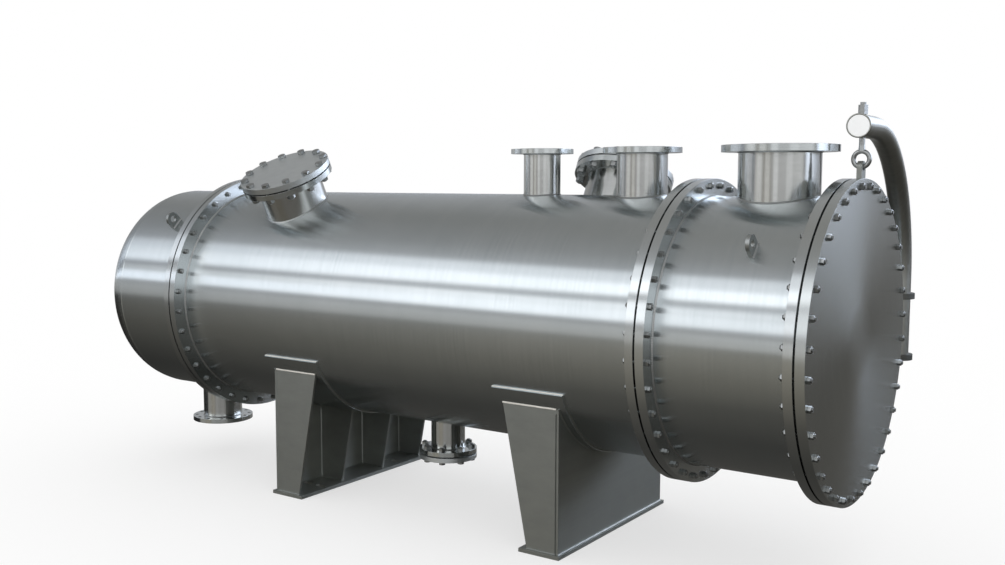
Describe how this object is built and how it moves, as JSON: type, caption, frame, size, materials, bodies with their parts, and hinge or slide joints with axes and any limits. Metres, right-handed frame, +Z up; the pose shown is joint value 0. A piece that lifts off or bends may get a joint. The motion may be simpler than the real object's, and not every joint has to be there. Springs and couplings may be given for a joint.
{
  "type": "shell and tube heat exchanger",
  "caption": "Horizontal shell and tube heat exchanger on saddles, with flanged nozzles and a flat channel cover that swings open on a davit.",
  "frame": {"origin": "on the floor, at the middle of the bolt holes in the base of the saddle nearer the channel", "axes": "+X along the shell towards the channel cover, -Y to the front, +Z up"},
  "size_m": [4.1424, 1.4939, 1.8685],
  "materials": {
    "shell_stainless": "brushed around the barrels",
    "flange_stainless": "machined and satin",
    "nozzle_stainless": "brushed pipe",
    "cover_stainless": "turned face",
    "saddle_stainless": "mill finish",
    "davit_steel": "satin pipe",
    "cap_white": "white paint",
    "gasket_fibre": "matt"
  },
  "bodies": {
    "exchanger": {"shell": "shell_stainless", "bonnet": "shell_stainless", "channel_barrel": "shell_stainless", "bonnet_tubesheet": "flange_stainless", "channel_tubesheet": "flange_stainless", "bonnet_flange": "flange_stainless", "channel_inner_flange": "flange_stainless", "channel_outer_flange": "flange_stainless", "bonnet_gasket": "gasket_fibre", "channel_gasket": "gasket_fibre", "cover_gasket": "gasket_fibre", "channel_nozzle_neck": "nozzle_stainless", "channel_nozzle_flange": "flange_stainless", "shell_inlet_neck": "nozzle_stainless", "shell_inlet_flange": "flange_stainless", "shell_vent_neck": "nozzle_stainless", "shell_vent_flange": "flange_stainless", "rear_hand_nozzle_neck": "nozzle_stainless", "rear_hand_nozzle_flange": "flange_stainless", "rear_hand_nozzle_blind": "flange_stainless", "front_hand_nozzle_neck": "nozzle_stainless", "front_hand_nozzle_flange": "flange_stainless", "front_hand_nozzle_blind": "flange_stainless", "drain_neck": "nozzle_stainless", "drain_flange": "flange_stainless", "drain_blind": "flange_stainless", "blind_gaskets": "gasket_fibre", "bonnet_nozzle_neck": "nozzle_stainless", "bonnet_nozzle_flange": "flange_stainless", "near_saddle_base": "saddle_stainless", "near_saddle_web": "saddle_stainless", "near_saddle_ribs": "saddle_stainless", "near_wear_plate": "saddle_stainless", "far_saddle_base": "saddle_stainless", "far_saddle_web": "saddle_stainless", "far_saddle_ribs": "saddle_stainless", "far_wear_plate": "saddle_stainless", "channel_lifting_eyes": "flange_stainless", "bonnet_lifting_eyes": "flange_stainless", "davit_upper_bracket": "davit_steel", "davit_lower_bracket": "davit_steel"},
    "cover_and_davit": {"davit_arm": "davit_steel", "davit_cap": "cap_white", "hanger_eyebolt": "davit_steel", "hanger_nut": "davit_steel", "channel_cover": "cover_stainless", "cover_lug": "flange_stainless"}
  },
  "joints": [
    {"name": "davit_swing", "type": "hinge", "parent": "exchanger", "child": "cover_and_davit", "pos_m": [1.095, 0.797, 0.795], "axis": [0, 0, 1], "range_deg": [0, 105]}
  ]
}
